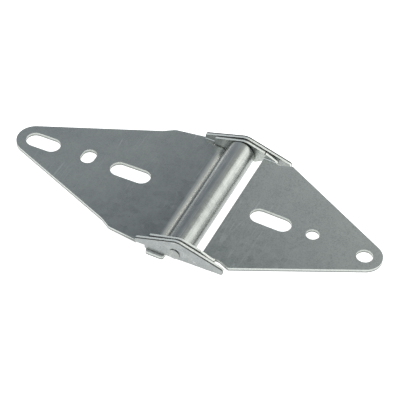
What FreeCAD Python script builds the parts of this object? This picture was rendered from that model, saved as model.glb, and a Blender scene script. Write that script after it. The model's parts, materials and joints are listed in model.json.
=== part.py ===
import FreeCAD, Part
import math
import os

V = FreeCAD.Vector

# A folded steel door hinge, worked out in millimetres about its own pivot:
# X runs along the leaves, Y along the pivot and Z is up, out of the door.
# The finished pieces are moved so that the origin is under the middle, on the floor.

# Sheet
sheet = 1.9                 # galvanised sheet, about 14 gauge
bendInside = 1.0            # inside radius of the ears' bends

# Barrel leaf, the longer one
barrelTipReach = 102.4      # pivot to the end of the leaf
barrelTipRadius = 9.3
barrelTaper = 23.2          # half angle of the tapered sides, degrees
barrelHalfWidth = 38.2      # where the outer ears begin
shoulderHalfWidth = 36.0    # where the taper has stepped out
barrelDrop = 1.0            # depth of the top face below the pivot
shoulderStart = 40.9        # where the taper steps out, measured from the pivot
shoulderRun = 5.4
shoulderRadius = 4.0

# Barrel, rolled from the end of the sheet
boreRadius = 5.1            # the barrel is 14 across outside
barrelHalfLength = 34.6
dipStart = 11.0             # where the plate starts to dip under the barrel
dipRadius = 3.0             # inside radius of that bend
rollEnd = 199.0             # where the roll closes on the plate, degrees

# Outer ears, bent up from the barrel leaf
outerGap = 0.3              # between an outer and an inner ear
outerLeft = 20.2            # how far the ear reaches on the barrel leaf's side
outerRootWidth = 5.0        # width of the bend that carries the ear
outerRight = 24.6           # how far it reaches on the other side
outerLeftTop = 1.3
outerPeak = 8.0             # height of the two slopes' meeting point, before rounding
outerPeakX = 1.0
outerPeakRadius = 7.0
outerRightTop = 0.1         # height of its top corner there
outerCorner = 0.9

# Swing leaf, the shorter one
restTilt = 2.3              # the leaf hangs this much below parallel, degrees
swingTipReach = 87.6
swingTipRadius = 8.6
swingTaper = 27.1
swingTop = 1.6              # top face, measured from the pivot
frontEdge = 11.7            # edge beside the barrel
lipEnd = 18.7               # where the ear's bend stops on the plate
lipEndTop = 1.7             # height of the ear's sloping top edge there
reliefRun = 2.0             # length of plate left narrow beyond the bend
wideStartGap = 1.6          # between the wide part of the plate and an outer ear's end
shoulderCorner = 1.0

# Inner ears, bent up from the swing leaf, with an arm past the pivot
barrelGap = 0.6             # between the barrel's end and an inner ear
innerLeft = 14.4
innerLeftTop = 2.7
innerPeak = 7.8
innerPeakX = 1.2
innerPeakRadius = 6.5
innerFrontTop = 4.8         # height of the ear over the leaf's front edge
innerHeel = 7.0             # length of its lower edge past the pivot
innerCorner = 0.5
heelRadius = 2.0
nickWidth = 0.5             # small nick in its top, over the front edge
nickDepth = 1.1
lugNear = 5.0               # stop lug under the outer ear, measured from the pivot
lugLength = 9.3
lugProud = 1.4              # how far the lug sticks out past the outer ear
lugCorner = 1.4
lugBendInside = 0.5
stopGap = 0.25              # left between the lug and the outer ear at rest

# Hinge pin, turned with a shoulder at each end and riveted over
pinClearance = 0.05         # in the barrel's bore and in the outer ears
earClearance = 0.08         # running clearance in the inner ears
shoulderClearance = 0.1     # between the pin's shoulder and an inner ear
spigotRadius = 2.2
headRadius = 2.8
headRim = 0.45
headHeight = 1.1

# Fixing holes: centre along the leaf, offset across it, width, length along the leaf
slotWidth = 9.2
tipSlotMargin = 4.7         # metal between the tip slot and the end of the leaf
tipSlotLength = 17.7
longSlotLength = 20.7
barrelSlotCentre = 42.1
swingSlotCentre = 31.2
crossHoleCentre = 65.0
crossHoleOffset = 1.1
crossHoleWidth = 7.0
crossHoleAcross = 9.4
smallHoleCentre = 52.2
smallHoleOffset = 1.0
smallHoleRadius = 3.3
tipHoleMargin = 4.6         # metal between the tip hole and the end of the leaf
tipHoleRadius = 4.0

# Sizes that follow
barrelRadius = boreRadius + sheet
barrelTop = -barrelDrop
barrelBottom = barrelTop - sheet
tipSlotCentre = barrelTipReach - tipSlotMargin - tipSlotLength / 2
tipHoleCentre = swingTipReach - tipHoleMargin - tipHoleRadius
bendOutside = bendInside + sheet
innerInside = barrelHalfLength + barrelGap
innerOutside = innerInside + sheet
outerInside = innerOutside + outerGap
outerOutside = outerInside + sheet
swingBottom = swingTop - sheet
wideStart = outerRight + wideStartGap
outerSlotEnd = outerLeft - outerRootWidth


def toXY(x, y, level):
    return V(x, y, level)


def toXZ(x, z, level):
    return V(x, level, z)


def roundedFace(corners, place, level):
    """A flat face from corners (a, b, radius), each radius an arc tangent to both sides."""
    count = len(corners)
    edges, starts, arcs = [], [], []
    for i in range(count):
        a, b, radius = corners[i]
        back = corners[i - 1]
        ahead = corners[(i + 1) % count]
        here = V(a, b, 0)
        toBack = V(back[0] - a, back[1] - b, 0).normalize()
        toAhead = V(ahead[0] - a, ahead[1] - b, 0).normalize()
        if radius <= 0:
            starts.append((here, here))
            arcs.append(None)
            continue
        half = toBack.getAngle(toAhead) / 2
        reach = radius / math.tan(half)
        bisector = (toBack + toAhead).normalize()
        middle = here + bisector * (radius / math.sin(half) - radius)
        starts.append((here + toBack * reach, here + toAhead * reach))
        arcs.append(middle)
    for i in range(count):
        first, last = starts[i]
        if arcs[i] is not None:
            points = [place(p.x, p.y, level) for p in (first, arcs[i], last)]
            edges.append(Part.Arc(*points).toShape())
        following = starts[(i + 1) % count][0]
        line = (place(last.x, last.y, level), place(following.x, following.y, level))
        if line[0].distanceToPoint(line[1]) > 1e-6:
            edges.append(Part.LineSegment(*line).toShape())
    return Part.Face(Part.Wire(edges))


def slot(centre, offset, length, width, z):
    """A cutter with round ends, long side along X, or along Y where the width is more."""
    longSide, shortSide = max(length, width), min(length, width)
    straight = (longSide - shortSide) / 2
    radius = shortSide / 2
    box = Part.makeBox(2 * straight, shortSide, 3 * sheet, V(-straight, -radius, 0))
    ends = [Part.makeCylinder(radius, 3 * sheet, V(side * straight, 0, 0)) for side in (-1, 1)]
    shape = box.fuse(ends)
    if width > length:
        shape.rotate(V(0, 0, 0), V(0, 0, 1), 90)
    shape.translate(V(centre, offset, z))
    return shape


def hole(centre, offset, radius, z):
    return Part.makeCylinder(radius, 3 * sheet, V(centre, offset, z))


def bendStrip(start, end, centreY, centreZ, inside, outward):
    """A quarter-turn bend along X below its centre, on the outward or the inward side of it."""
    centre = V(start, centreY, centreZ)
    outside = inside + sheet
    ring = Part.makeCylinder(outside, end - start, centre, V(1, 0, 0))
    ring = ring.cut(Part.makeCylinder(inside, end - start, centre, V(1, 0, 0)))
    corner = V(start, centreY if outward else centreY - outside, centreZ - outside)
    return ring.common(Part.makeBox(end - start, outside, outside, corner))


def mirrored(shape):
    return shape.mirror(V(0, 0, 0), V(0, 1, 0))


def pinHole(radius, inside):
    """A cutter on the pivot through the ear whose inner face is at inside."""
    return Part.makeCylinder(radius, 2 * sheet, V(0, inside - sheet / 2, 0), V(0, 1, 0))


def taperAt(x, tipReach, tipRadius, taper):
    """Half the leaf's width at a distance x from the pivot, on its tapered sides."""
    angle = math.radians(taper)
    return tipRadius / math.cos(angle) + (tipReach - tipRadius - x) * math.tan(angle)


def apex(tipReach, tipRadius, taper):
    """Where a leaf's two tapered sides would meet if its end weren't round."""
    return tipReach - tipRadius + tipRadius / math.sin(math.radians(taper))


def barrelPlate():
    """The flat of the barrel leaf, up to where it dips under the barrel."""
    flatEdge = outerOutside - bendOutside
    shoulderEnd = shoulderStart - shoulderRun
    half = [
        (-shoulderStart, taperAt(shoulderStart, barrelTipReach, barrelTipRadius, barrelTaper), shoulderRadius),
        (-shoulderEnd, shoulderHalfWidth, shoulderRadius),
        (-outerLeft, barrelHalfWidth, 0),
        (-outerLeft, flatEdge, 0),
        (-outerSlotEnd, flatEdge, 0),
        (-outerSlotEnd, barrelHalfLength, 0),
        (-dipStart, barrelHalfLength, 0),
    ]
    tip = (-apex(barrelTipReach, barrelTipRadius, barrelTaper), 0, barrelTipRadius)
    outline = [tip] + half + [(x, -y, r) for x, y, r in reversed(half)]
    plate = roundedFace(outline, toXY, barrelBottom).extrude(V(0, 0, sheet))
    below = barrelBottom - sheet
    cutters = [
        slot(-tipSlotCentre, 0, tipSlotLength, slotWidth, below),
        slot(-barrelSlotCentre, 0, longSlotLength, slotWidth, below),
        slot(-crossHoleCentre, crossHoleOffset, crossHoleWidth, crossHoleAcross, below),
    ]
    return plate.cut(cutters)


def rolledBarrel():
    """The sheet's end: it dips, runs straight on to the roll and goes once round the pin."""
    middleRadius = boreRadius + sheet / 2
    bendMiddle = dipRadius + sheet / 2
    drop = bendMiddle - (barrelTop - sheet / 2)
    dip = math.asin((middleRadius + bendMiddle) / math.hypot(dipStart, drop)) - math.atan2(drop, dipStart)
    centre = V(-dipStart, 0, barrelBottom - dipRadius)

    def onDip(radius, angle):
        return centre + V(math.sin(angle), 0, math.cos(angle)) * radius

    def onRoll(radius, angle):
        return V(math.cos(angle), 0, math.sin(angle)) * radius

    begin = math.radians(270) - dip
    end = math.radians(360 + rollEnd)
    middle = (begin + end) / 2
    upper, lower = dipRadius + sheet, dipRadius
    edges = [
        Part.Arc(onDip(upper, 0), onDip(upper, dip / 2), onDip(upper, dip)).toShape(),
        Part.LineSegment(onDip(upper, dip), onRoll(boreRadius, begin)).toShape(),
        Part.Arc(onRoll(boreRadius, begin), onRoll(boreRadius, middle), onRoll(boreRadius, end)).toShape(),
        Part.LineSegment(onRoll(boreRadius, end), onRoll(barrelRadius, end)).toShape(),
        Part.Arc(onRoll(barrelRadius, end), onRoll(barrelRadius, middle), onRoll(barrelRadius, begin)).toShape(),
        Part.LineSegment(onRoll(barrelRadius, begin), onDip(lower, dip)).toShape(),
        Part.Arc(onDip(lower, dip), onDip(lower, dip / 2), onDip(lower, 0)).toShape(),
        Part.LineSegment(onDip(lower, 0), onDip(upper, 0)).toShape(),
    ]
    section = Part.Face(Part.Wire(edges))
    section.translate(V(0, -barrelHalfLength, 0))
    return section.extrude(V(0, 2 * barrelHalfLength, 0))


def outerEar():
    """One outer ear: a long low triangle, carried by a short bend at its left end."""
    bendTop = barrelTop + bendInside
    outline = [
        (-outerLeft, bendTop, 0),
        (-outerSlotEnd, bendTop, 0),
        (-outerSlotEnd, barrelBottom, outerCorner),
        (outerRight, barrelBottom, outerCorner),
        (outerRight, outerRightTop, outerCorner),
        (outerPeakX, outerPeak, outerPeakRadius),
        (-outerLeft, outerLeftTop, 0),
    ]
    ear = roundedFace(outline, toXZ, outerInside).extrude(V(0, sheet, 0))
    bend = bendStrip(-outerLeft, -outerSlotEnd, outerOutside - bendOutside, bendTop, bendInside, True)
    return ear.fuse(bend)


def barrelLeaf():
    ear = outerEar().cut(pinHole(spigotRadius + pinClearance, outerInside))
    return barrelPlate().fuse([rolledBarrel(), ear, mirrored(ear)]).removeSplitter()


def swingPlate():
    """The flat of the swing leaf: narrow between the outer ears, then wide, then tapered."""
    flatEdge = innerOutside - bendOutside
    half = [
        (wideStart, taperAt(wideStart, swingTipReach, swingTipRadius, swingTaper), shoulderCorner),
        (lipEnd + reliefRun, flatEdge, shoulderCorner),
        (frontEdge, flatEdge, 0),
    ]
    tip = (apex(swingTipReach, swingTipRadius, swingTaper), 0, swingTipRadius)
    outline = [tip] + half + [(x, -y, r) for x, y, r in reversed(half)]
    plate = roundedFace(outline, toXY, swingBottom).extrude(V(0, 0, sheet))
    below = swingBottom - sheet
    cutters = [
        slot(swingSlotCentre, 0, longSlotLength, slotWidth, below),
        hole(smallHoleCentre, smallHoleOffset, smallHoleRadius, below),
        hole(tipHoleCentre, 0, tipHoleRadius, below),
    ]
    return plate.cut(cutters)


def lugTop():
    """Top of the stop lug in the swing leaf's own frame, just clear of the outer ear at rest."""
    tilt = math.radians(restTilt)
    outerEnd = lugNear + lugLength
    return (barrelBottom - stopGap - outerEnd * math.sin(tilt)) / math.cos(tilt)


def stopLug():
    """A flat lug, bent out from the foot of an inner ear's arm to pass under the outer ear."""
    top = lugTop()
    start = -(lugNear + lugLength)
    bendY = innerOutside + lugBendInside
    outline = [
        (start, bendY, 0),
        (-lugNear, bendY, 0),
        (-lugNear, outerOutside + lugProud, lugCorner),
        (start, outerOutside + lugProud, lugCorner),
    ]
    flat = roundedFace(outline, toXY, top - sheet).extrude(V(0, 0, sheet))
    bend = bendStrip(start, -lugNear, bendY, top + lugBendInside, lugBendInside, False)
    return flat.fuse(bend)


def innerEar():
    """One inner ear with its arm, its lug and the bend that joins it to the plate."""
    bendTop = swingTop + bendInside
    armFoot = lugTop() + lugBendInside
    outline = [
        (-innerLeft, armFoot, innerCorner),
        (innerHeel, armFoot, heelRadius),
        (frontEdge, swingBottom, 0),
        (frontEdge, bendTop, 0),
        (lipEnd, bendTop, 0),
        (lipEnd, innerFrontTop, 0),
        (frontEdge, innerFrontTop, 0),
        (innerPeakX, innerPeak, innerPeakRadius),
        (-innerLeft, innerLeftTop, innerCorner),
    ]
    ear = roundedFace(outline, toXZ, innerInside).extrude(V(0, sheet, 0))
    bend = bendStrip(frontEdge, lipEnd, innerOutside - bendOutside, bendTop, bendInside, True)
    above = [
        (frontEdge, innerFrontTop, 0),
        (lipEnd, lipEndTop, 0),
        (lipEnd, innerFrontTop + sheet, 0),
        (frontEdge, innerFrontTop + sheet, 0),
    ]
    foldStart = innerOutside - bendOutside
    slope = roundedFace(above, toXZ, foldStart).extrude(V(0, bendOutside, 0))
    nick = Part.makeBox(nickWidth, bendOutside, 2 * nickDepth, V(frontEdge, foldStart, innerFrontTop - nickDepth))
    return ear.fuse([bend, stopLug()]).cut([slope, nick])


def swingLeaf():
    ear = innerEar().cut(pinHole(spigotRadius + earClearance, innerInside))
    leaf = swingPlate().fuse([ear, mirrored(ear)]).removeSplitter()
    leaf.rotate(V(0, 0, 0), V(0, 1, 0), restTilt)
    return leaf


def hingePin():
    """The pin's half profile, turned about the pivot: body, shoulders, spigots and domed heads."""
    body = boreRadius - pinClearance
    shoulder = innerInside - shoulderClearance
    crown = outerOutside + headHeight
    rim = outerOutside + headRim
    rise = headHeight - headRim
    domeRadius = (headRadius ** 2 + rise ** 2) / (2 * rise)
    halfway = math.asin(headRadius / domeRadius) / 2
    domeX = domeRadius * math.sin(halfway)
    domeY = crown - domeRadius * (1 - math.cos(halfway))
    steps = [
        (headRadius, rim),
        (headRadius, outerOutside),
        (spigotRadius, outerOutside),
        (spigotRadius, shoulder),
        (body, shoulder),
    ]
    corners = [V(x, y, 0) for x, y in steps] + [V(x, -y, 0) for x, y in reversed(steps)]
    side = [Part.LineSegment(a, b).toShape() for a, b in zip(corners, corners[1:])]
    side.append(Part.Arc(corners[-1], V(domeX, -domeY, 0), V(0, -crown, 0)).toShape())
    side.append(Part.LineSegment(V(0, -crown, 0), V(0, crown, 0)).toShape())
    side.append(Part.Arc(V(0, crown, 0), V(domeX, domeY, 0), corners[0]).toShape())
    return Part.Face(Part.Wire(side)).revolve(V(0, 0, 0), V(0, 1, 0), 360)


def origin():
    """The point under the middle of the hinge, on the floor, measured from the pivot."""
    tilt = math.radians(restTilt)
    right = swingTipReach * math.cos(tilt) + swingTop * math.sin(tilt)
    return V((right - barrelTipReach) / 2, 0, -barrelRadius)


def main():
    pieces = {
        "barrel_leaf": barrelLeaf(),
        "swing_leaf": swingLeaf(),
        "hinge_pin": hingePin(),
    }
    os.makedirs("parts", exist_ok=True)
    start = origin()
    print("pivot at %.4f, 0, %.4f" % (-start.x, -start.z))
    for name, shape in pieces.items():
        shape.translate(-start)
        box = shape.BoundBox
        print(name, "solids", len(shape.Solids), "valid", shape.isValid(), "volume %.1f" % shape.Volume,
              "x %.3f %.3f y %.3f %.3f z %.3f %.3f" % (box.XMin, box.XMax, box.YMin, box.YMax, box.ZMin, box.ZMax))
        shape.exportStep("parts/%s.step" % name)


main()
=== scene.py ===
import json
import math
import bmesh
import bpy
import numpy as np
from mathutils import Matrix, Vector


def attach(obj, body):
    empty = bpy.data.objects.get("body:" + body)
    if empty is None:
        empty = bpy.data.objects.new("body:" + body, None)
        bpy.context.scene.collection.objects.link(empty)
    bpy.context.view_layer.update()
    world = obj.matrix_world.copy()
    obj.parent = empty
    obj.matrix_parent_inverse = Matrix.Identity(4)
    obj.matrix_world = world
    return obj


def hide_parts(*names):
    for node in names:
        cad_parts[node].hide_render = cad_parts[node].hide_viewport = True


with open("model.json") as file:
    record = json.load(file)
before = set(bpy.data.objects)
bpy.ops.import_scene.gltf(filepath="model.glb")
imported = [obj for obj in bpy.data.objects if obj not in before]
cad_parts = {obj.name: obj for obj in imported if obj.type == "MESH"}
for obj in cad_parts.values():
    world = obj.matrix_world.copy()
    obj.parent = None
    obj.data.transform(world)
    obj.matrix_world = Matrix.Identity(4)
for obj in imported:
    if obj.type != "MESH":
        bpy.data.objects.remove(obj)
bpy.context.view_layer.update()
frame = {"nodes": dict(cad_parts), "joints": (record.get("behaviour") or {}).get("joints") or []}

# Lengths in these dictionaries are in millimetres, angles in degrees and colours are sRGB.
# Places on the leaves are counted from the pin's axis.
mm = 0.001
pivot = Vector(frame["joints"][0]["pos_m"])


def linearColour(hexColour):
    # sRGB to linear: v / 12.92 below 0.04045, else ((v + 0.055) / 1.055) to the power 2.4
    value = np.array([int(hexColour[i:i + 2], 16) for i in (1, 3, 5)]) / 255
    linear = np.where(value <= 0.04045, value / 12.92, ((value + 0.055) / 1.055) ** 2.4)
    return (*linear.tolist(), 1.0)


def addNode(tree, kind, settings=None, links=None):
    # one node: settings go to its properties or, where the name is a socket's, to that input;
    # links take each named or numbered input from another node's output socket
    node = tree.nodes.new(kind)
    for name, value in (settings or {}).items():
        if isinstance(name, str) and hasattr(node, name):
            setattr(node, name, value)
        else:
            node.inputs[name].default_value = value
    for name, socket in (links or {}).items():
        tree.links.new(socket, node.inputs[name])
    return node


def newMaterial(name):
    material = bpy.data.materials.new(name)
    material.use_nodes = True
    material.node_tree.nodes.clear()
    return material, material.node_tree


# Galvanised sheet steel: the zinc freezes in flat crystals, then dulls, so the sheet is a soft
# grey metal with faint cloudy patches, a fine grain, a few hairline scratches and dark specks.
galvanisedSheet = {
    "grey": "#a0a4a1",
    "cloudGrey": "#a9ada9",
    "cloudSize": 9.0,
    "cloudRange": (0.35, 0.65),
    "grainGrey": "#8e9290",
    "grainSize": 0.7,          # finer in the real sheet, drawn as coarse as it needs to show
    "grainRange": (0.45, 0.75),
    "grainShare": 0.8,
    "driftGrey": "#bdc0c4",    # the grey is darkened slowly across the sheet along driftAim, on both leaves towards the pin and the near side
    "driftAim": (0.9, -0.45, 0),
    "driftRange": (-45.0, 10.0),
    "spangleSize": 2.6,
    "spangleShare": 0.35,
    "scratchGrey": "#c6c9c6",
    "scratchSpacing": 7.0,
    "scratchTurns": (24, -63),
    "scratchStretch": 0.03,    # along a scratch the noise changes this much slower than across it
    "scratchWidth": 0.004,     # half the span of the noise that is a scratch
    "scratchShare": 0.4,
    "patchRange": (0.5, 0.62),
    "speckGrey": "#5d6060",
    "speckSpacing": 11.0,
    "speckSize": 0.35,
    "speckShare": 0.8,
    # the next grey is painted highlight and reflection, laid on the barrel, the outer ears, the lugs and the
    # dip beside the barrel
    "paintedSheenGrey": "#dadbd6",
    "paintedSheenFull": 0.2,        # painted sheen at which the grain is down to grainLeft
    "grainLeft": 0.3,
    "drawnWidth": 0.8,         # fine lines along the roll that streak the painted sheen, where the bending tool drew over the zinc
    "drawnStretch": 0.02,
    "drawnRange": (0.35, 0.65),
    "drawnShare": (0.65, 1.25),
    "roughness": 0.3,
    "roughnessSpread": 0.04,
    "bumpStrength": 0.25,
    "bumpHeight": 0.01,
    "dip": None,
}
barrelDipHighlight = {
    "range": (-12.0, -10.2),   # where the painted highlight on the dip beside the barrel rises
    "share": 0.55,
    "end": -7.05,
    "side": 36.0,
}


def paintDipHighlight(tree, place, dip, paintedSheen):
    # painted highlight on the bend of the dip beside the barrel: the larger of the painted sheen and
    # rise * (x < end) * (|y| < side), where rise goes straight from 0 to the dip's share
    apart = addNode(tree, "ShaderNodeSeparateXYZ", {}, {0: place})
    start, full = (pivot.x + distance * mm for distance in dip["range"])
    settings = {"From Min": start, "From Max": full, "To Max": dip["share"]}
    rise = addNode(tree, "ShaderNodeMapRange", settings, {"Value": apart.outputs["X"]}).outputs["Result"]
    aside = addNode(tree, "ShaderNodeMath", {"operation": "ABSOLUTE"}, {0: apart.outputs["Y"]}).outputs[0]
    for source, limit in ((apart.outputs["X"], pivot.x + dip["end"] * mm), (aside, dip["side"] * mm)):
        within = addNode(tree, "ShaderNodeMath", {"operation": "LESS_THAN", 1: limit}, {0: source}).outputs[0]
        rise = addNode(tree, "ShaderNodeMath", {"operation": "MULTIPLY"}, {0: rise, 1: within}).outputs[0]
    return addNode(tree, "ShaderNodeMath", {"operation": "MAXIMUM"}, {0: paintedSheen, 1: rise}).outputs[0]


def makeGalvanisedSheet(name, changes):
    look = {**galvanisedSheet, **changes}
    material, tree = newMaterial(name)
    place = addNode(tree, "ShaderNodeTexCoord").outputs["Object"]

    # noises with cells of a size in mm, each with its detail and roughness
    noises = {}
    for kind, size, detail, roughness in (
        ("cloud", look["cloudSize"], 4, 0.6),
        ("grain", look["grainSize"], 2, 0.7),
        ("patch", look["scratchSpacing"] * 2, 2, 0.5),
        ("bump", look["grainSize"], 3, 0.6),
    ):
        settings = {"Scale": 1 / (size * mm), "Detail": detail, "Roughness": roughness}
        noises[kind] = addNode(tree, "ShaderNodeTexNoise", settings, {"Vector": place}).outputs["Fac"]

    # noises stretched along a line: two for scratches that cross, and the drawn lines along the roll
    stretched = []
    for turn, stretch, size, detail in (
        (look["scratchTurns"][0], look["scratchStretch"], look["scratchSpacing"], 1),
        (look["scratchTurns"][1], look["scratchStretch"], look["scratchSpacing"], 1),
        (0, look["drawnStretch"], look["drawnWidth"], 2),
    ):
        settings = {"Scale": (1, stretch, 1), "Rotation": (0, 0, math.radians(turn))}
        turned = addNode(tree, "ShaderNodeMapping", settings, {"Vector": place}).outputs["Vector"]
        settings = {"Scale": 1 / (size * mm), "Detail": detail}
        stretched.append(addNode(tree, "ShaderNodeTexNoise", settings, {"Vector": turned}).outputs["Fac"])
    scratches = []
    for lines in stretched[:2]:
        settings = {"operation": "COMPARE", 1: 0.5, 2: look["scratchWidth"]}
        scratches.append(addNode(tree, "ShaderNodeMath", settings, {0: lines}).outputs[0])
    links = {0: scratches[0], 1: scratches[1]}
    scratched = addNode(tree, "ShaderNodeMath", {"operation": "MAXIMUM"}, links).outputs[0]

    # crystals of the spangle, each with its own slight brightness, and specks where the zinc is bruised
    cells = {}
    for kind, size in (("spangle", look["spangleSize"]), ("speck", look["speckSpacing"])):
        settings = {"Scale": 1 / (size * mm)}
        cells[kind] = addNode(tree, "ShaderNodeTexVoronoi", settings, {"Vector": place}).outputs
    settings = {"operation": "DOT_PRODUCT", 1: look["driftAim"]}
    along = addNode(tree, "ShaderNodeVectorMath", settings, {0: place}).outputs["Value"]

    # painted sheen, read from the mesh: painted highlight and reflection that make the zinc paler, with less
    # grain and with fine drawn lines
    paintedSheen = addNode(tree, "ShaderNodeAttribute", {"attribute_name": "paintedSheen"}).outputs["Fac"]
    if look["dip"]:
        paintedSheen = paintDipHighlight(tree, place, look["dip"], paintedSheen)

    # each share goes straight from one value to another between two values of its source
    speckEdge = look["speckSize"] / look["speckSpacing"]
    driftRange = tuple(distance * mm for distance in look["driftRange"])
    smooth, spread = look["roughness"], look["roughnessSpread"]
    shares = {}
    for kind, source, (low, high), (start, end) in (
        ("cloud", noises["cloud"], look["cloudRange"], (0, 1)),
        ("roughness", noises["cloud"], look["cloudRange"], (smooth - spread, smooth + spread)),
        ("grain", noises["grain"], look["grainRange"], (0, look["grainShare"])),
        ("grainLeft", paintedSheen, (0, look["paintedSheenFull"]), (1, look["grainLeft"])),
        ("drift", along, driftRange, (0, 1)),
        ("spangle", cells["spangle"]["Color"], (0, 1), (0, look["spangleShare"])),
        ("patch", noises["patch"], look["patchRange"], (0, look["scratchShare"])),
        ("speck", cells["speck"]["Distance"], (speckEdge / 2, speckEdge), (look["speckShare"], 0)),
        ("drawn", stretched[2], look["drawnRange"], look["drawnShare"]),
    ):
        settings = {"From Min": low, "From Max": high, "To Min": start, "To Max": end}
        shares[kind] = addNode(tree, "ShaderNodeMapRange", settings, {"Value": source}).outputs["Result"]
    for kind, a, b in (
        ("grain", shares["grain"], shares["grainLeft"]),
        ("scratch", scratched, shares["patch"]),
        ("paintedSheen", paintedSheen, shares["drawn"]),
    ):
        shares[kind] = addNode(tree, "ShaderNodeMath", {"operation": "MULTIPLY"}, {0: a, 1: b}).outputs[0]

    settings = {"data_type": "RGBA", 6: linearColour(look["grey"]), 7: linearColour(look["cloudGrey"])}
    colour = addNode(tree, "ShaderNodeMix", settings, {0: shares["cloud"]}).outputs[2]
    for kind, grey, blend in (
        ("grain", "grainGrey", "MIX"),
        ("drift", "driftGrey", "MULTIPLY"),
        ("spangle", "cloudGrey", "MIX"),
        ("scratch", "scratchGrey", "MIX"),
        ("speck", "speckGrey", "MIX"),
        ("paintedSheen", "paintedSheenGrey", "MIX"),
    ):
        settings = {"data_type": "RGBA", "blend_type": blend, 7: linearColour(look[grey])}
        colour = addNode(tree, "ShaderNodeMix", settings, {0: shares[kind], 6: colour}).outputs[2]

    settings = {"Strength": look["bumpStrength"], "Distance": look["bumpHeight"] * mm}
    bump = addNode(tree, "ShaderNodeBump", settings, {"Height": noises["bump"]}).outputs["Normal"]
    links = {"Base Color": colour, "Roughness": shares["roughness"], "Normal": bump}
    shader = addNode(tree, "ShaderNodeBsdfPrincipled", {"Metallic": 1.0}, links)
    addNode(tree, "ShaderNodeOutputMaterial", {}, {"Surface": shader.outputs["BSDF"]})
    return material


# Sheared steel: a punch cuts the first part of the sheet clean and bright and tears the rest,
# so a cut edge is bright with a rough dark band along the side where the punch came out.
shearedSteel = {
    "brightGrey": "#eff1ec",
    "tornGrey": "#5c5f5c",
    "tornRange": (0.54, 0.66),  # shares of the sheet's depth where the tear begins and is full
    "raggedness": 0.25,         # how far the streaks move the line where it begins, as such a share
    "streakGrey": "#c4c7c2",
    "streakWidth": 0.35,
    "streakRange": (0.5, 0.75),
    "roughness": 0.58,
    "bumpStrength": 0.3,
    "bumpHeight": 0.03,
}


def makeShearedSteel(name, changes):
    look = {**shearedSteel, **changes}
    material, tree = newMaterial(name)
    place = addNode(tree, "ShaderNodeTexCoord").outputs["Object"]
    settings = {"Scale": 1 / (look["streakWidth"] * mm), "Detail": 2.0}
    streaks = addNode(tree, "ShaderNodeTexNoise", settings, {"Vector": place}).outputs["Fac"]

    # the tear starts at a ragged line: depth + raggedness * streaks, whose middle is half of that
    depth = addNode(tree, "ShaderNodeAttribute", {"attribute_name": "sheetDepth"}).outputs["Fac"]
    settings = {"operation": "MULTIPLY_ADD", 1: look["raggedness"]}
    ragged = addNode(tree, "ShaderNodeMath", settings, {0: streaks, 2: depth}).outputs[0]
    tornRange = tuple(share + look["raggedness"] / 2 for share in look["tornRange"])

    settings = {"data_type": "RGBA", 6: linearColour(look["brightGrey"])}
    links = {}
    for source, (low, high), grey in (
        (streaks, look["streakRange"], "streakGrey"),
        (ragged, tornRange, "tornGrey"),
    ):
        share = addNode(tree, "ShaderNodeMapRange", {"From Min": low, "From Max": high}, {"Value": source})
        settings[7] = linearColour(look[grey])
        links[0] = share.outputs["Result"]
        links[6] = addNode(tree, "ShaderNodeMix", settings, links).outputs[2]

    settings = {"Strength": look["bumpStrength"], "Distance": look["bumpHeight"] * mm}
    bump = addNode(tree, "ShaderNodeBump", settings, {"Height": streaks}).outputs["Normal"]
    settings = {"Metallic": 1.0, "Roughness": look["roughness"]}
    shader = addNode(tree, "ShaderNodeBsdfPrincipled", settings, {"Base Color": links[6], "Normal": bump})
    addNode(tree, "ShaderNodeOutputMaterial", {}, {"Surface": shader.outputs["BSDF"]})
    return material


print("stage: materials")
sheetLeft = makeGalvanisedSheet("galvanisedSheetLeft", {"dip": barrelDipHighlight})
sheetRight = makeGalvanisedSheet("galvanisedSheetRight", {
    "grey": "#b0b4b0",
    "cloudGrey": "#b9bdb8",
    "cloudSize": 12.0,
    "grainGrey": "#8b8f8d",
    "driftGrey": "#c3c6c8",
    "driftAim": (-0.45, -0.9, 0),
    "driftRange": (-45.0, 28.0),
    "scratchTurns": (38, 112),
})
pinSteel = makeGalvanisedSheet("zincPlatedPin", {
    "grey": "#949794",
    "cloudGrey": "#9da09c",
    "grainGrey": "#878a87",
    "driftGrey": "#ffffff",
    "scratchTurns": (15, 80),
})
cutSteel = makeShearedSteel("shearedEarEdge", {})
plateEdgeSteel = makeShearedSteel("shearedPlateEdge", {
    "brightGrey": "#c9ccc7",
    "streakGrey": "#a3a6a2",
    "tornGrey": "#8a8d8a",
})

# Softening: a punched and tumbled sheet has no knife edges
softening = {
    "edgeRound": 0.22,
    "segments": 2,
    "joinWithin": 0.0001,
    "flatWithin": 0.4,
    "sharpFrom": 35.0,
    "shadeSharpFrom": 30.0,
}


def softenedCopy(node):
    # a node's own mesh with its doubles merged, its flat faces joined and each sharp edge rounded
    shape = bmesh.new()
    shape.from_mesh(frame["nodes"][node].data)
    bmesh.ops.remove_doubles(shape, verts=shape.verts, dist=softening["joinWithin"] * mm)
    flatWithin = math.radians(softening["flatWithin"])
    bmesh.ops.dissolve_limit(shape, angle_limit=flatWithin, verts=shape.verts, edges=shape.edges)
    sharpFrom = math.radians(softening["sharpFrom"])
    sharp = [edge for edge in shape.edges if edge.is_manifold and edge.calc_face_angle() > sharpFrom]
    bmesh.ops.bevel(shape, geom=sharp, offset=softening["edgeRound"] * mm, segments=softening["segments"],
                    profile=0.5, affect="EDGES", clamp_overlap=True)
    bmesh.ops.triangulate(shape, faces=[face for face in shape.faces if len(face.verts) > 4])
    copy = bpy.data.meshes.new(node + "Steel")
    shape.to_mesh(copy)
    shape.free()
    copy.shade_smooth()
    copy.set_sharp_from_angle(angle=math.radians(softening["shadeSharpFrom"]))
    piece = bpy.data.objects.new(node + "Steel", copy)
    bpy.context.scene.collection.objects.link(piece)
    flatter = piece.modifiers.new("flatFacesStayFlat", "WEIGHTED_NORMAL")
    flatter.keep_sharp = True
    flatter.weight = 100
    return piece


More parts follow.
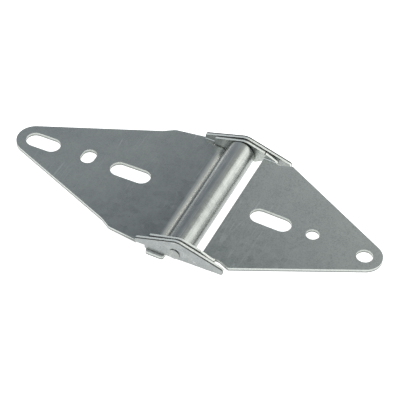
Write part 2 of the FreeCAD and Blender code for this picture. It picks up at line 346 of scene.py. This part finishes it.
# Folded sheet: what parts its own skin from its cut faces, on both leaves and then on each
foldedSheet = {
    "thickness": 1.9,
    "bendInside": 1.0,
    "margin": 0.05,
    "facing": 0.6,             # a face looks along an axis if its normal's part along it is larger
    "lugTop": -3.72,           # the lugs lie below it, and so does the barrel's underside
    "lugMargin": 0.1,
}
barrelLeaf = {
    "tilt": 0.0,
    "plateTop": -1.0,
    "foldRange": (-20.2, -15.2),
    "foldSide": 36.4,
    "foldHeight": 0.0,
    "foldTop": 0.5,            # above it a fold's face that looks up is cut
    "earAhead": True,
    "earSide": 37.25,
    "barrelStart": -11.4,
    "barrelEnd": 34.7,
    "barrelOutside": 7.05,
    # shares of painted sheen: paler grey painted as highlight and reflection on the barrel and the outer ears
    "barrelPaintedSheen": 0.2,
    "earPaintedSheen": 0.15,
}
swingLeaf = {
    "tilt": 2.3,
    "plateTop": 1.6,
    "foldRange": (11.7, 18.7),
    "foldSide": 34.2,
    "foldHeight": 2.6,
    "foldSlope": (0.2, 0.3),   # parts along X and Z beyond which a fold's face is the notch's cut
    "earAhead": False,
    "earSide": 35.1,
    "lugRange": (-14.5, -4.8),
    "lugSide": 38.5,
    # painted light on the lugs, which lie in the ears' shade
    "lugPaintedSheen": 0.8,
    "lugPaintedSheenEnd": -3.0,
    "lugPaintedSheenHeight": 0.6,
}


def readVectors(items, name):
    # a row of three numbers for each point or face
    values = np.zeros(len(items) * 3)
    items.foreach_get(name, values)
    return values.reshape(-1, 3)


def turnedBack(vectors, tilt):
    # (x cos t - z sin t, y, x sin t + z cos t), as if the leaf's plate lay level
    c, s = math.cos(math.radians(tilt)), math.sin(math.radians(tilt))
    return vectors @ np.array([[c, 0, s], [0, 1, 0], [-s, 0, c]])


def fromPin(places):
    # from the pin's axis, in mm
    return (places - np.array(pivot)) / mm


def sheetDepth(points, leaf):
    # how deep each point lies in the sheet, 0 on the inside of the folds and 1 on the outside:
    # (plate top - z) / thickness on the plate and alike on a lug, (|y| - ear's inner face) / thickness
    # on an ear, and (radius about the fold - inside radius) / thickness on a fold
    x, y, z = points[:, 0], np.abs(points[:, 1]), points[:, 2]
    thickness, inside, margin = (foldedSheet[name] for name in ("thickness", "bendInside", "margin"))
    side, height = leaf["foldSide"], leaf["foldHeight"]
    start, end = leaf["foldRange"]
    onPlate = (leaf["plateTop"] - z) / thickness
    onFold = (np.hypot(y - side, z - height) - inside) / thickness
    onEar = (y - side - inside) / thickness
    folded = (x > start - margin) & (x < end + margin)
    past = x > end if leaf["earAhead"] else x < start
    bent = folded & (y > side) & (z < height)
    standing = (folded | past) & (y > side + inside - margin)
    depth = np.where(bent, onFold, np.where(standing, onEar, onPlate))
    lugTop = foldedSheet["lugTop"]
    return np.where(z < lugTop + foldedSheet["lugMargin"], (lugTop - z) / thickness, depth)


def barrelPaintedSheen(points):
    # painted sheen, a painted highlight and reflection: level on the barrel, which ends at its outside radius
    # about the pin, and on the outer ears
    x, y, z = points[:, 0], np.abs(points[:, 1]), points[:, 2]
    onBarrel = (y < barrelLeaf["barrelEnd"]) & (np.hypot(x, z) < barrelLeaf["barrelOutside"])
    onEar = y > barrelLeaf["earSide"]
    return onBarrel * barrelLeaf["barrelPaintedSheen"] + onEar * barrelLeaf["earPaintedSheen"]


def swingPaintedSheen(points):
    # painted sheen that lightens the lugs' shaded tops: level on the lugs, which lie lowest behind the pin
    x, z = points[:, 0], points[:, 2]
    low = z < foldedSheet["lugTop"] + swingLeaf["lugPaintedSheenHeight"]
    return (low & (x < swingLeaf["lugPaintedSheenEnd"])) * swingLeaf["lugPaintedSheen"]


def barrelCutFaces(centres, normals):
    # 1 for a cut face of an ear, fold or barrel, 2 for one of the plate and 0 for the sheet's own skin:
    # across the plate a cut face looks sideways; on the barrel it looks along Y; on an ear it doesn't
    x, y, z = centres[:, 0], np.abs(centres[:, 1]), centres[:, 2]
    facesX, facesY, facesZ = (np.abs(normals) > foldedSheet["facing"]).T
    start, end = barrelLeaf["foldRange"]
    margin = foldedSheet["margin"] * 2
    ear = (y > barrelLeaf["earSide"]) & (x > end + margin)
    fold = (y > barrelLeaf["foldSide"]) & (x >= start - margin) & (x <= end + margin)
    barrel = (x > barrelLeaf["barrelStart"]) & (y < barrelLeaf["barrelEnd"])
    plate = ~(ear | fold | barrel)
    foldCut = facesX | (facesZ & (z > barrelLeaf["foldTop"]))
    cut = (barrel & facesY) | (ear & ~facesY) | (fold & foldCut)
    return np.where(plate & ~facesZ, 2, cut)


def swingCutFaces(centres, normals):
    # as on the other leaf; the lugs' tops, in the ears' shade, take the bright cut steel as painted light,
    # and their edges are the plate's
    x, y, z = centres[:, 0], np.abs(centres[:, 1]), centres[:, 2]
    facesX, facesY, facesZ = (np.abs(normals) > foldedSheet["facing"]).T
    start, end = swingLeaf["foldRange"]
    lugStart, lugEnd = swingLeaf["lugRange"]
    margin = foldedSheet["margin"] * 2
    lug = (z < foldedSheet["lugTop"] + foldedSheet["lugMargin"] * 2) & (x > lugStart) & (x < lugEnd)
    fold = (y > swingLeaf["foldSide"]) & (x >= start - margin) & (x <= end + margin)
    ear = (y > swingLeaf["earSide"]) & (x < start - margin) & ~lug
    plate = ~(lug | fold | ear)
    slopeX, slopeZ = swingLeaf["foldSlope"]
    sloping = (np.abs(normals[:, 0]) > slopeX) & (np.abs(normals[:, 2]) > slopeZ)
    lugEdge = lug & (facesX | (facesY & (y > swingLeaf["lugSide"])))
    # the lugs' tops get the bright cut steel as painted light against the ears' shade
    lugTop = lug & facesZ & (normals[:, 2] > 0)
    cut = (ear & ~facesY) | lugTop | (fold & (facesX | sloping))
    return np.where((plate & ~facesZ) | lugEdge, 2, cut)


def finishLeaf(node, body, coat, leaf, cutFaces, paintedSheen):
    piece = softenedCopy(node)
    mesh = piece.data
    for material in (coat, cutSteel, plateEdgeSteel):
        mesh.materials.append(material)
    centres = turnedBack(fromPin(readVectors(mesh.polygons, "center")), leaf["tilt"])
    normals = turnedBack(readVectors(mesh.polygons, "normal"), leaf["tilt"])
    mesh.polygons.foreach_set("material_index", cutFaces(centres, normals).astype(np.int32))
    points = fromPin(readVectors(mesh.vertices, "co"))
    depth = sheetDepth(turnedBack(points, leaf["tilt"]), leaf)
    for name, values in (("paintedSheen", paintedSheen(points)), ("sheetDepth", depth)):
        layer = mesh.attributes.new(name, "FLOAT", "POINT")
        layer.data.foreach_set("value", values.astype(np.float32))
    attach(piece, body)
    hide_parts(node)
    print("stage:", node, len(mesh.polygons), "faces")


finishLeaf("barrel_leaf", "barrel_side", sheetLeft, barrelLeaf,
           barrelCutFaces, barrelPaintedSheen)
finishLeaf("swing_leaf", "swing_side", sheetRight, swingLeaf,
           swingCutFaces, swingPaintedSheen)

# Pin: its riveted heads are round already, so it keeps its own mesh
pinNode = frame["nodes"]["hinge_pin"]
pinNode.data.materials.clear()
pinNode.data.materials.append(pinSteel)
pinNode.data.shade_smooth()
pinNode.data.set_sharp_from_angle(angle=math.radians(softening["shadeSharpFrom"]))

# Floor: a wide pale disc that shows white and keeps the hinge's soft shadow
floorLook = {
    "radius": 3000.0,
    "points": 96,
    "white": "#f4f4f4",
    "glow": 0.92,
}


def makeFloor():
    # a flat ring of points (r cos a, r sin a, 0), closed to one face
    angles = np.linspace(0, 2 * np.pi, floorLook["points"], endpoint=False)
    radius = floorLook["radius"] * mm
    ring = np.stack([radius * np.cos(angles), radius * np.sin(angles), np.zeros_like(angles)], 1)
    mesh = bpy.data.meshes.new("studioFloor")
    mesh.from_pydata(ring.tolist(), [], [list(range(len(ring)))])
    floor = bpy.data.objects.new("studioFloor", mesh)
    bpy.context.scene.collection.objects.link(floor)

    # it glows for the camera and in reflections only, so its white adds no light to the hinge
    material, tree = newMaterial("whitePaper")
    paper = addNode(tree, "ShaderNodeBsdfDiffuse", {"Color": linearColour(floorLook["white"])})
    path = addNode(tree, "ShaderNodeLightPath").outputs
    seen = path["Is Camera Ray"]
    for ray in ("Is Glossy Ray", "Is Transmission Ray"):
        seen = addNode(tree, "ShaderNodeMath", {"operation": "MAXIMUM"}, {0: seen, 1: path[ray]}).outputs[0]
    strength = addNode(tree, "ShaderNodeMath", {"operation": "MULTIPLY", 1: floorLook["glow"]}, {0: seen})
    glow = addNode(tree, "ShaderNodeEmission", {}, {"Strength": strength.outputs[0]})
    both = addNode(tree, "ShaderNodeAddShader", {}, {0: paper.outputs[0], 1: glow.outputs[0]})
    addNode(tree, "ShaderNodeOutputMaterial", {}, {"Surface": both.outputs[0]})
    mesh.materials.append(material)


makeFloor()

# Light: a soft room that is brighter towards the window side, and large soft boxes
roomLight = {
    "dim": "#a9afb6",
    "windowSide": "#d8d9d6",
    "window": (0.61, 0.64, 0.475),
    "windowRange": (0.4, 1.0),    # cosines of the angle from the window over which the room brightens
    "horizon": "#f4f4f2",
    "horizonRange": (0.02, 0.16),  # heights of a direction over which the floor's white turns to the room
    "strength": 1.19,
}
softBoxes = {
    "windowBox": {"place": (730, 765, 575), "size": (560, 900), "power": 2.6, "tint": "#fffefb"},
    "frontBox": {"place": (-350, -760, 860), "size": (800, 600), "power": 2.2, "tint": "#ffffff"},
}


def makeRoom():
    # dim to window side by the cosine from the window, then horizon to that by the direction's height
    world = bpy.data.worlds.new("softRoom")
    bpy.context.scene.world = world
    world.use_nodes = True
    tree = world.node_tree
    tree.nodes.clear()
    place = addNode(tree, "ShaderNodeTexCoord").outputs["Generated"]
    settings = {"operation": "DOT_PRODUCT", 1: roomLight["window"]}
    aim = addNode(tree, "ShaderNodeVectorMath", settings, {0: place}).outputs["Value"]
    start, full = roomLight["windowRange"]
    settings = {"interpolation_type": "SMOOTHSTEP", "From Min": start, "From Max": full}
    near = addNode(tree, "ShaderNodeMapRange", settings, {"Value": aim}).outputs["Result"]
    dim, windowSide = linearColour(roomLight["dim"]), linearColour(roomLight["windowSide"])
    settings = {"data_type": "RGBA", 6: dim, 7: windowSide}
    colour = addNode(tree, "ShaderNodeMix", settings, {0: near}).outputs[2]
    height = addNode(tree, "ShaderNodeSeparateXYZ", {}, {0: place}).outputs["Z"]
    low, high = roomLight["horizonRange"]
    settings = {"From Min": low, "From Max": high}
    above = addNode(tree, "ShaderNodeMapRange", settings, {"Value": height}).outputs["Result"]
    settings = {"data_type": "RGBA", 6: linearColour(roomLight["horizon"])}
    colour = addNode(tree, "ShaderNodeMix", settings, {0: above, 7: colour}).outputs[2]
    shader = addNode(tree, "ShaderNodeBackground", {"Strength": roomLight["strength"]}, {"Color": colour})
    addNode(tree, "ShaderNodeOutputWorld", {}, {"Surface": shader.outputs[0]})


def makeSoftBox(name, box):
    light = bpy.data.lights.new(name, "AREA")
    light.shape = "RECTANGLE"
    light.size, light.size_y = (value * mm for value in box["size"])
    light.energy = box["power"]
    light.color = linearColour(box["tint"])[:3]
    lamp = bpy.data.objects.new(name, light)
    lamp.location = Vector(box["place"]) * mm
    lamp.rotation_euler = (-lamp.location).to_track_quat("-Z", "Y").to_euler()
    bpy.context.scene.collection.objects.link(lamp)


makeRoom()
for boxName, box in softBoxes.items():
    makeSoftBox(boxName, box)

# Camera: where the photograph was taken from
cameraView = {
    "azimuth": 24.5,
    "elevation": 45.71,
    "roll": 1.32,
    "focal": 232.65,
    "sensor": 36.0,
    "nearest": 10.0,
    "place": (355.7, -776.0, 878.3),
}


def makeCamera():
    # level right = (cos a, sin a, 0), back = (sin a cos e, -cos a cos e, sin e), level up = back x right;
    # the roll then turns right and up about back
    a, e, roll = (math.radians(cameraView[name]) for name in ("azimuth", "elevation", "roll"))
    back = Vector((math.sin(a) * math.cos(e), -math.cos(a) * math.cos(e), math.sin(e)))
    levelRight = Vector((math.cos(a), math.sin(a), 0))
    levelUp = back.cross(levelRight)
    right = levelRight * math.cos(roll) + levelUp * math.sin(roll)
    lens = bpy.data.cameras.new("photoCamera")
    lens.sensor_width = cameraView["sensor"]
    lens.lens = cameraView["focal"]
    lens.clip_start = cameraView["nearest"] * mm
    camera = bpy.data.objects.new("photoCamera", lens)
    camera.matrix_world = Matrix((right, back.cross(right), back)).transposed().to_4x4()
    camera.location = Vector(cameraView["place"]) * mm
    bpy.context.scene.collection.objects.link(camera)
    bpy.context.scene.camera = camera


makeCamera()
bpy.context.scene.view_settings.view_transform = "Standard"
print("stage: room and camera")
